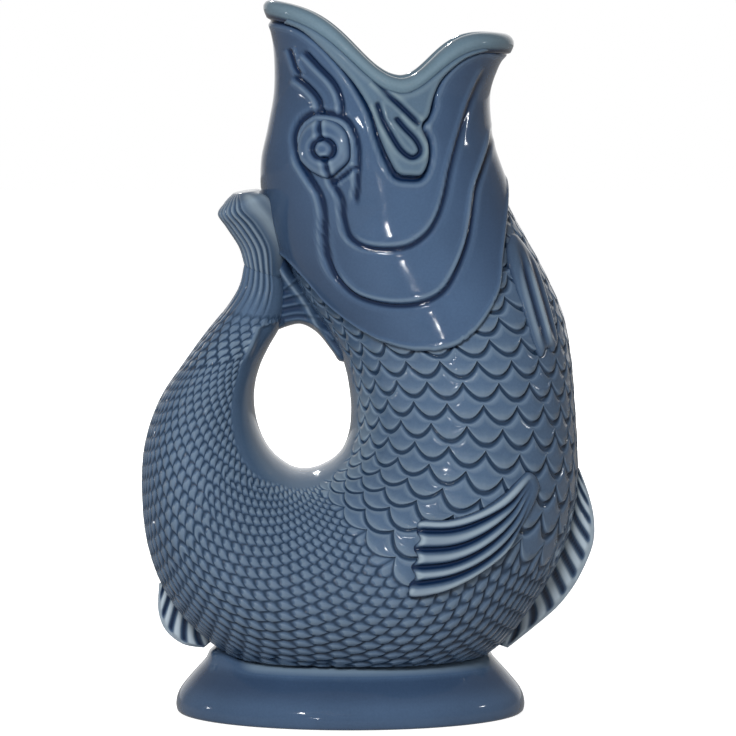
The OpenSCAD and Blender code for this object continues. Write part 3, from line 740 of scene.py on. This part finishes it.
def on_side_at(x, z):
    """The station and the angle at which a place in the side view lies: the nearest
    place of a coarse net on the fish, and then a few steps nearer from there."""
    grid_t, grid_angle = np.meshgrid(np.linspace(-0.2, 24, 200), np.linspace(0.12, 3.02, 60))
    at = on_fish(grid_t, grid_angle)
    flat = np.stack([at[..., 0].ravel(), at[..., 2].ravel()], 1)
    t, angle = np.empty(len(x)), np.empty(len(x))
    for start in range(0, len(x), 2000):
        some = slice(start, start + 2000)
        far = (x[some, None] - flat[:, 0]) ** 2 + (z[some, None] - flat[:, 1]) ** 2
        best = far.argmin(axis=1)
        t[some], angle[some] = grid_t.ravel()[best], grid_angle.ravel()[best]
    for _ in range(8):
        here = on_fish(t, angle)
        by_t = (on_fish(t + 0.01, angle) - here)[:, [0, 2]] / 0.01
        by_angle = (on_fish(t, angle + 0.01) - here)[:, [0, 2]] / 0.01
        miss_x, miss_z = x - here[:, 0], z - here[:, 2]
        scale = by_t[:, 0] * by_angle[:, 1] - by_t[:, 1] * by_angle[:, 0]
        scale = np.where(np.abs(scale) < 1e-3, 1e-3, scale)
        t = t + np.clip((miss_x * by_angle[:, 1] - miss_z * by_angle[:, 0]) / scale, -0.3, 0.3)
        angle = angle + np.clip((by_t[:, 0] * miss_z - by_t[:, 1] * miss_x) / scale, -0.1, 0.1)
        angle = np.clip(angle, 0.02, 3.12)
    return t, angle


def flat_start(outline, fineness):
    """A fine flat grid over an outline. Gives each point's place in the side view,
    how far inside the outline it is, and which points lie outside it. Points close
    to the outline are moved onto it."""
    corners = np.array(outline)
    low, high = corners.min(axis=0), corners.max(axis=0)
    across, up = (int(count) + 1 for count in np.ceil((high - low) / fineness))
    bpy.ops.object.select_all(action="DESELECT")
    bpy.ops.mesh.primitive_grid_add(x_subdivisions=across, y_subdivisions=up, size=2)
    piece = bpy.context.object
    at = (points_of(piece)[:, :2] + 1) / 2 * (high - low) + low
    x, z = at[:, 0], at[:, 1]
    within = inside_of(x, z, outline)
    drop = within < -1.05 * fineness
    edge = curve_through(outline + outline[:1], np.linspace(0, len(outline), 60 * len(outline)))
    for i in np.nonzero((within < 0.35 * fineness) & ~drop)[0]:
        x[i], z[i] = edge[np.hypot(edge[:, 0] - x[i], edge[:, 1] - z[i]).argmin()]
        within[i] = 0
    return piece, x, z, np.maximum(within, 0), drop


def cut_out(piece, drop):
    """Takes away the points of a grid that lie outside its outline."""
    bpy.ops.object.mode_set(mode="EDIT")
    bpy.ops.mesh.select_all(action="DESELECT")
    bpy.ops.object.mode_set(mode="OBJECT")
    piece.data.vertices.foreach_set("select", drop)
    bpy.ops.object.mode_set(mode="EDIT")
    bpy.ops.mesh.delete(type="VERT")
    bpy.ops.object.mode_set(mode="OBJECT")


def side_piece(side, name, node, slot, material, outline, carve, fineness):
    """A piece raised over one side of the fish by what carve gives for places in the
    side view and how far inside the outline they are."""
    piece, x, z, within, drop = flat_start(outline, fineness)
    height, relief = carve(x, z, within)
    t, angle = on_side_at(x, z)
    angle = angle if side == "right" else 2 * np.pi - angle
    shaped(piece, on_fish(t, angle, height), relief)
    cut_out(piece, drop)
    bpy.ops.object.mode_set(mode="EDIT")
    bpy.ops.mesh.select_all(action="SELECT")
    bpy.ops.mesh.remove_doubles(threshold=0.00002)
    bpy.ops.mesh.dissolve_degenerate(threshold=0.00001)
    bpy.ops.mesh.normals_make_consistent(inside=False)
    bpy.ops.object.mode_set(mode="OBJECT")
    middle = piece.data.polygons[len(piece.data.polygons) // 2]
    if middle.normal.y * (-1 if side == "right" else 1) < 0:
        bpy.ops.object.mode_set(mode="EDIT")
        bpy.ops.mesh.select_all(action="SELECT")
        bpy.ops.mesh.flip_normals()
        bpy.ops.object.mode_set(mode="OBJECT")
    thick = piece.modifiers.new("back", "SOLIDIFY")
    thick.thickness = sunk * mm
    thick.offset = -1
    bpy.ops.object.modifier_apply(modifier="back")
    finished(piece, f"{name}_{side}", [f"{node}_{side}"], material)


def side_pair(*description):
    for side in ("right", "left"):
        side_piece(side, *description)


def plate_edge(within, top, bottom, radius):
    """Height of a plate whose edge is rounded over radius, down to bottom."""
    return bottom + (top - bottom) * np.sqrt(1 - (1 - np.clip(within / radius, 0, 1)) ** 2)


def carve_jaw(x, z, within):
    top = jaw_height + (band_height - jaw_height) * smooth_step(192, 204, z)
    height = plate_edge(within, top, 0.6, 1.6)
    relief = 0.5 * np.exp(-(((within - 1.5) / 1.2) ** 2)) - 1.3 * np.exp(-((within / 0.4) ** 2))
    for line, depth in ((drop_line, 1.3), (web_line, 1.2)):
        more, shade = carved_line(x, z, line, depth, 0.85, ends=0.04)
        height, relief = height + more, relief + shade
    return height, relief


side_pair("mouth_corner", "jaw_corner", "lip_glaze", corner_glaze, jaw_outline, carve_jaw, 0.36)

# The eyes. Each is a dome of clay in its ring, with a round pupil carved in it and
# a seam over and under the pupil.
eye_outline = [
    (-22.4, 189.5), (-21.6, 194.0), (-18.6, 198.0), (-14.2, 199.5), (-9.6, 198.3), (-6.2, 194.8),
    (-5.2, 189.5), (-5.6, 185.6), (-8.4, 182.4), (-12.4, 179.6), (-17.4, 181.8), (-21.0, 185.2),
]
eye_middle, half_length, half_height, eye_rise = (-12.6, 188.8), 8.8, 10.2, 2.0
pupil_middle, pupil_radius = (-12.9, 189.4), 3.2
seam_over = [(-14.6, 200.0), (-14.4, 196.8), (-13.8, 193.0)]
seam_under = [(-12.6, 186.2), (-12.0, 183.0), (-11.0, 178.4)]


def carve_eye(x, z, within):
    away = np.hypot((x - eye_middle[0]) / half_length, (z - eye_middle[1]) / half_height)
    height = plate_edge(within, 2.9, 0.5, 1.8) + eye_rise * np.sqrt(np.clip(1 - away**2, 0, 1))
    relief = 0.55 * np.exp(-(((within - 1.6) / 1.3) ** 2)) - 1.3 * np.exp(-((within / 0.5) ** 2))
    for line in (seam_over, seam_under):
        more, shade = carved_line(x, z, line, 1.0, 0.75, ends=0)
        height, relief = height + more, relief + shade
    from_pupil = np.hypot(x - pupil_middle[0], z - pupil_middle[1]) - pupil_radius
    cut = np.exp(-((from_pupil / 0.8) ** 2))
    height += 0.5 * smooth_step(0.4, -2.5, from_pupil) - 1.1 * cut
    relief += 0.5 * np.exp(-(((np.abs(from_pupil) - 1.7) / 0.8) ** 2)) - 1.5 * cut
    return height, relief


side_pair("eyeball", "eye", "eye_glaze", face_glaze, eye_outline, carve_eye, 0.26)

# The foot. An oval base with a rolled edge, drawn in to a neck under the belly and
# hollow underneath, where the glaze is wiped off before the firing.
foot_length, foot_width = 117.0, 88.0
foot_middle = -6.2
foot_cove = 12.0
# How far the foot draws in as a share of the cove, and its height as a share.
foot_profile = [
    (0.10, 0), (0.03, 0.03), (0, 0.12), (0.01, 0.22), (0.07, 0.34), (0.20, 0.46), (0.36, 0.57),
    (0.53, 0.69), (0.70, 0.80), (0.86, 0.90), (1.0, 1.0), (1.55, 1.0), (1.5, 0.8), (0.95, 0.3),
    (0.88, 0),
]
foot_glaze = glaze("foot_glaze", face_blue, navy, (0.150, 0.215, 0.290, 1.0), 0.10)
bpy.ops.object.select_all(action="DESELECT")
bpy.ops.mesh.primitive_circle_add(vertices=96, radius=1, fill_type="NOTHING")
foot = bpy.context.object
bpy.ops.object.mode_set(mode="EDIT")
bpy.ops.mesh.select_all(action="SELECT")


def foot_ring(shares):
    inset = shares[0] * foot_cove * mm
    return foot_length / 2 * mm - inset, foot_width / 2 * mm - inset, shares[1] * foot_height * mm


before = (1.0, 1.0, 0.0)
for number, shares in enumerate(foot_profile):
    now = foot_ring(shares)
    if number:
        bpy.ops.mesh.extrude_region_move()
    bpy.ops.transform.resize(value=(now[0] / before[0], now[1] / before[1], 1),
                             center_override=(0, 0, 0))
    bpy.ops.transform.translate(value=(0, 0, now[2] - before[2]))
    before = now
bpy.ops.mesh.select_all(action="DESELECT")
bpy.ops.mesh.select_non_manifold()
bpy.ops.mesh.bridge_edge_loops()
bpy.ops.object.mode_set(mode="OBJECT")
round_off = foot.modifiers.new("round_off", "SUBSURF")
round_off.levels = round_off.render_levels = 1
bpy.ops.object.modifier_apply(modifier="round_off")
points = points_of(foot) / mm
points[:, 0] += foot_middle
up = np.clip(points[:, 2] / foot_height, 0, 1)
points[:, 2] = np.clip(points[:, 2], 0, foot_height)
x, y, z = points.T
# At both ends its top is drawn up towards the belly, which curves away there.
drawn_up = 2.4 * smooth_step(-41, -50, x) + 0.8 * smooth_step(34, 40, x)
points[:, 2] = z + drawn_up * smooth_step(0.88, 1.0, up)
# The top of the neck is painted pale as a painted reflection, its middle is darker,
# and underneath the glaze is plain.
from_middle = np.hypot((x - foot_middle) / (foot_length / 2), y / (foot_width / 2))
painted_reflection_round_top = 0.95 * smooth_step(0.76, 0.92, up) * (1 - 0.9 * smooth_step(-37, -45, x))
relief = painted_reflection_round_top - 0.28 * smooth_step(0.35, 0.65, up) * smooth_step(0.95, 0.72, up)
relief = np.where(from_middle > 0.72, relief, 0)
shaped(foot, points, relief)
finished(foot, "oval_foot", ["foot"], foot_glaze)

# The tail fin. A fan of rays on the end of the tail, which leans on the back of the
# head. Its outer side is ribbed, and the side next to the head is a smooth hollow.
fin_rings = [
    (-0.186, 0.589, -0.270, 0.609, 0.213, 0), (-0.176, 0.640, -0.281, 0.637, 0.260, 0),
    (-0.186, 0.681, -0.308, 0.668, 0.330, 0), (-0.200, 0.706, -0.326, 0.689, 0.385, 0),
    (-0.215, 0.721, -0.313, 0.706, 0.370, 0), (-0.240, 0.727, -0.296, 0.721, 0.260, 0),
]
fin_columns, fin_rows = 240, 56
fan_start, fan_end = -0.15, 5.0
fin_blue = (0.056, 0.096, 0.162, 1.0)
fin_glaze = glaze("fin_glaze", fin_blue, navy, (0.250, 0.320, 0.385, 1.0), 0.12)


def with_poles(points, row):
    """Puts the two end points of a drawn-out ball in the middle of the rings by them."""
    for end, beside in ((0, 1), (row.max(), row.max() - 1)):
        points[row == end] = points[row == beside].mean(axis=0)
    return points


fan, turn, row = ball_start(fin_columns, fin_rows + 2)
angle = turn * 2 * np.pi
t = fan_start + np.clip((row - 1) / fin_rows, 0, 1) * (fan_end - fan_start)
rays, shades_with_painted_reflection = (part * (1 - 0.75 * smooth_step(4.2, 5.0, t)) for part in ray_relief(angle, t / 5))
grow = rays * np.interp(t, [0, 1, 3, 5], [0.9, 1.0, 1.3, 1.0]) - 0.7 * smooth_step(0, fan_start, t)
shaped(fan, with_poles(on_fish(t, angle, grow, fin_rings), row), shades_with_painted_reflection + 0.12)
finished(fan, "tail_fan", ["tail_fin"], fin_glaze)

# The back fin. A ribbed web of clay that fills the crook between the tail, the head
# and the finger hole, with a smooth rounded border along the hole.
back_thickness, back_rounding = 5.4, 3.4
ray_height, flap_height = 1.1, 2.0
back_outline = [
    (-30.6, 157.5), (-31.6, 151.0), (-30.2, 145.7), (-30.8, 139.3), (-31.9, 132.9), (-35.7, 126.5),
    (-44.5, 119.8), (-46.5, 112.5), (-40.5, 118.5), (-36.9, 122.7), (-32.4, 126.9), (-26.3, 129.5),
    (-22.0, 129.9), (-17.0, 126.9), (-12.3, 121.0), (-9.7, 117.6), (-6.1, 118.4), (-7.6, 126.5),
    (-10.9, 132.5), (-15.4, 136.5), (-19.8, 141.8), (-25.1, 148.2), (-26.8, 155.0),
]
gill_flap = [
    (-31.6, 150.5), (-27.0, 144.6), (-21.6, 137.6), (-17.8, 130.6), (-13.6, 123.4), (-11.4, 120.0),
]
back_rays = [
    [(-28.3, 142.3), (-24.3, 145.2)],
    [(-28.3, 139.3), (-24.0, 140.5), (-20.5, 141.0)],
    [(-28.6, 136.3), (-22.0, 137.4), (-17.0, 136.7)],
    [(-28.6, 133.3), (-22.8, 134.2), (-14.6, 132.5)],
    [(-27.5, 131.4), (-22.0, 131.8), (-15.2, 128.6), (-11.9, 125.6)],
]


def carve_web(x, z, within):
    thick = plate_edge(within, back_thickness, 0, back_rounding)
    relief = np.full(len(x), -0.9)
    for line in back_rays:
        far, _, _ = to_line(x, z, line)
        ridge = np.exp(-((far / 0.75) ** 2))
        thick = thick + ray_height * ridge * np.clip(within / 1.5, 0, 1)
        relief = relief + 0.9 * ridge
    border = smooth_step(3.2, 0.6, within) * smooth_step(141, 136, z)
    far, _, _ = to_line(x, z, gill_flap)
    flap = np.exp(-((far / 1.25) ** 2))
    thick = thick + flap_height * flap * np.clip(within / 1.2, 0, 1)
    return thick, np.maximum(relief * (1 - border) + 0.3 * border, 1.1 * flap - 0.6)


def middle_piece(name, node, outline, carve, fineness):
    """A piece across the middle plane: raised to one side, and mirrored to the other."""
    piece, x, z, within, drop = flat_start(outline, fineness)
    thick, relief = carve(x, z, within)
    shaped(piece, np.stack([x, -thick, z], 1), relief)
    cut_out(piece, drop)
    other = piece.modifiers.new("other_side", "MIRROR")
    other.use_axis = (False, True, False)
    other.use_clip = True
    other.merge_threshold = 0.00002
    bpy.ops.object.modifier_apply(modifier="other_side")
    finished(piece, name, [node], fin_glaze)


middle_piece("back_web", "back_fin", back_outline, carve_web, 0.42)

# The fins on the flanks, over the foot. Each fans back from a pointed root by the
# belly's edge in five ribs, and its free edge is notched between them.
side_fin_height, rib_height = 1.85, 0.85
side_outline = [
    (56.0, 79.5), (54.4, 83.4), (51.4, 84.7), (49.2, 82.8), (41.1, 76.0), (33.6, 72.1), (24.9, 69.8),
    (16.8, 69.5), (15.2, 65.9), (16.4, 63.4), (14.2, 60.6), (15.6, 57.4), (13.4, 54.6), (14.9, 51.4),
    (12.7, 48.8), (13.2, 44.8), (22.3, 45.9), (30.4, 49.1), (38.5, 54.0), (45.3, 59.8), (50.2, 67.9),
    (54.4, 74.7),
]
# Grooves between the ribs, from the root to the notches.
side_grooves = [
    [(51.6, 81.6), (45.2, 74.6), (35.6, 69.2), (26.2, 66.4), (14.0, 66.2)],
    [(52.1, 80.8), (46.2, 72.2), (36.8, 64.9), (26.2, 60.9), (12.0, 60.2)],
    [(52.8, 80.2), (47.4, 70.0), (37.8, 61.0), (26.2, 55.8), (12.0, 54.4)],
    [(53.6, 79.6), (48.6, 67.8), (38.8, 57.6), (26.2, 51.4), (11.0, 49.0)],
]


def carve_side_fin(x, z, within):
    sinks = smooth_step(42, 55, x)
    height = plate_edge(within, side_fin_height + rib_height - 1.1 * sinks, -0.8, 1.5 + 1.2 * sinks)
    relief = 0.22 + 0.5 * np.exp(-(((within - 1.3) / 1.0) ** 2))
    relief = relief * (1 - 0.8 * sinks) - (1.2 - 0.7 * sinks) * np.exp(-((within / 0.5) ** 2))
    grown = smooth_step(54, 46, x)
    for line in side_grooves:
        far, _, _ = to_line(x, z, line)
        cut = np.exp(-((far / np.interp(x, [14, 50], [1.05, 0.55])) ** 2)) * grown
        rim = np.exp(-(((far - 2.2) / 0.9) ** 2)) * grown
        height = height - 1.9 * cut * np.clip(within / 1.0, 0.3, 1)
        relief = relief + 0.4 * rim - 1.6 * cut
    return height, relief


side_pair("flank_fin", "side_fin", "fin_glaze", fin_glaze, side_outline, carve_side_fin, 0.42)

# The breast fins. A long leaf of clay lies behind the throat on each side, ribbed
# along its length.
breast_height = 1.5
breast_outline = [
    (46.6, 161.3), (49.6, 160.4), (54.5, 152.6), (58.7, 140.2), (61.7, 128.7), (62.0, 125.4),
    (60.3, 122.2), (58.4, 123.8), (56.1, 120.9), (53.8, 125.6), (50.8, 135.4), (47.5, 145.2),
    (45.2, 152.7), (45.0, 157.5),
]
breast_grooves = [
    [(48.0, 159.5), (50.6, 148.0), (53.4, 138.0), (56.0, 129.0), (58.0, 122.0)],
    [(49.4, 158.8), (53.8, 148.0), (57.0, 138.0), (59.4, 129.6), (61.0, 124.0)],
]


def carve_breast_fin(x, z, within):
    height = plate_edge(within, breast_height, -0.8, 3.0) - 0.5 * smooth_step(150, 160, z)
    relief = 0.2 - 0.5 * np.exp(-((within / 0.5) ** 2)) - 0.3 * smooth_step(140, 156, z)
    for line in breast_grooves:
        more, shade = carved_line(x, z, line, 0.7, 0.8, ends=0.3)
        height, relief = height + more, relief + 0.75 * shade
    return height, relief


side_pair("breast_leaf", "breast_fin", "fin_glaze", fin_glaze, breast_outline, carve_breast_fin, 0.34)

# The fins in the middle: the belly fin on the pouring side and the short vent fin on
# the other. Each is a thin notched blade with slanting rays that ripple its sides.
root_thickness, tip_thickness = 6.4, 2.6
blade_columns, blade_rows = 64, 148
belly_roots = [
    (0.436, 0.290), (0.426, 0.243), (0.402, 0.205), (0.374, 0.166), (0.344, 0.130), (0.312, 0.095),
    (0.282, 0.065), (0.252, 0.040), (0.236, 0.024),
]
belly_tips = [
    (0.462, 0.290), (0.484, 0.247), (0.495, 0.210), (0.494, 0.174), (0.477, 0.139), (0.451, 0.104),
    (0.415, 0.071), (0.362, 0.038), (0.306, 0.006),
]
vent_roots = [(-0.415, 0.122), (-0.396, 0.096), (-0.370, 0.074), (-0.344, 0.054), (-0.318, 0.034)]
vent_tips = [(-0.462, 0.108), (-0.464, 0.066), (-0.448, 0.034), (-0.410, 0.012), (-0.364, 0.006)]
blade_glaze = glaze("blade_glaze", fin_blue, navy, (0.40, 0.48, 0.55, 1.0), 0.12)


def keel_fin(name, node, roots, tips, rays, slant):
    """Draws a ball out along a fin: each ring goes from the root, along one side to
    the tip, and back along the other side."""
    blade, turn, row = ball_start(blade_columns, blade_rows + 2)
    along = np.clip((row - 1) / blade_rows, 0, 1)
    out = (1 - np.cos(turn * 2 * np.pi)) / 2
    steps = along * (len(roots) - 1)
    root, tip = curve_through(roots, steps), curve_through(tips, steps)
    ripple = np.cos((along * rays - slant * out) * 2 * np.pi)
    ripple = 1.6 * (0.5 + 0.5 * ripple) ** 0.6 - 0.8
    rim = smooth_step(0.86, 0.95, out)
    share = root + (tip - root) * out[:, None]
    half = (root_thickness + (tip_thickness - root_thickness) * out) / 2
    ends = np.sqrt(np.clip(1 - (2 * along - 1) ** 14, 0.04, 1))
    side = np.clip(1.6 * np.sin(turn * 2 * np.pi), -1, 1)
    y = side * (half + 0.95 * ripple * smooth_step(0.05, 0.3, out) * (1 - rim)) * ends
    points = np.stack([share[:, 0] * jug_length, y, foot_height + share[:, 1] * shell_height], 1)
    shaped(blade, with_poles(points, row), (ripple * 1.5 + 0.1) * (1 - rim) + 0.8 * rim)
    finished(blade, name, [node], blade_glaze)


keel_fin("belly_blade", "belly_fin", belly_roots, belly_tips, 10, 3.4)
keel_fin("vent_blade", "vent_fin", vent_roots, vent_tips, 5, 2.4)
